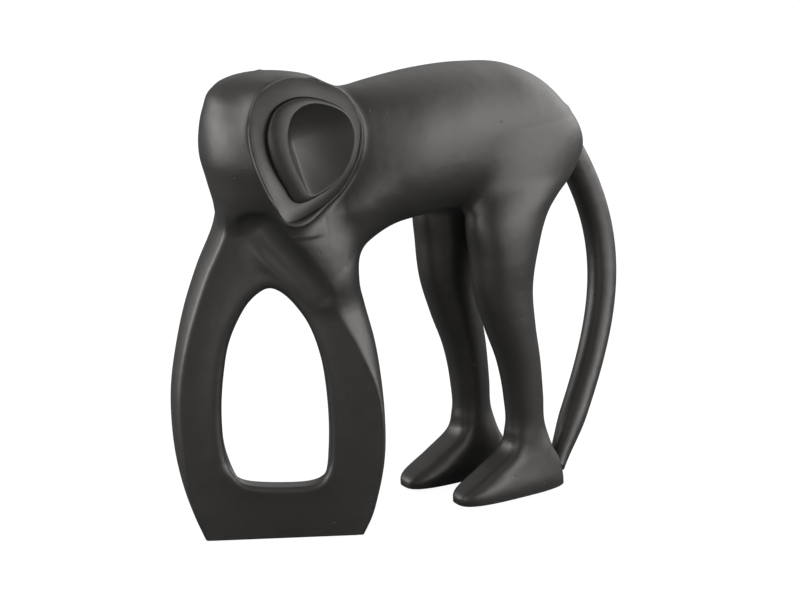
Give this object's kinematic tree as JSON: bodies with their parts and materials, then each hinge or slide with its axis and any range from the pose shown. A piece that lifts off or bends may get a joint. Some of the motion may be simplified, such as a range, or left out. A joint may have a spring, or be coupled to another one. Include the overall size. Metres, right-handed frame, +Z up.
{
  "type": "monkey figurine",
  "caption": "Free-standing cast ornament of a monkey on its hind legs, its arms closed to a loop on the floor and its head turned to the side, made in sections and doweled.",
  "frame": {"origin": "On the floor, under the middle of the figure's box", "axes": "X to the figure's left, Y towards its tail, Z up"},
  "size_m": [0.0916, 0.2624, 0.2409],
  "materials": {
    "black_casting": "satin black coat",
    "face_casting": "satin black coat",
    "tail_rod": "satin black coat",
    "steel_dowel": "ground",
    "felt_pad": "matte felt"
  },
  "bodies": {
    "root": {"torso": "black_casting", "head": "black_casting", "face_ring": "face_casting", "face_bowl": "face_casting", "right_arm": "black_casting", "left_arm": "black_casting", "right_hind_leg": "black_casting", "left_hind_leg": "black_casting", "tail": "tail_rod", "neck_pin": "steel_dowel", "right_shoulder_pin": "steel_dowel", "left_shoulder_pin": "steel_dowel", "hand_pin": "steel_dowel", "right_hip_pin": "steel_dowel", "left_hip_pin": "steel_dowel", "tail_pin": "steel_dowel", "core_plug": "black_casting", "hand_pad": "felt_pad", "right_foot_pad": "felt_pad", "left_foot_pad": "felt_pad"}
  },
  "joints": []
}
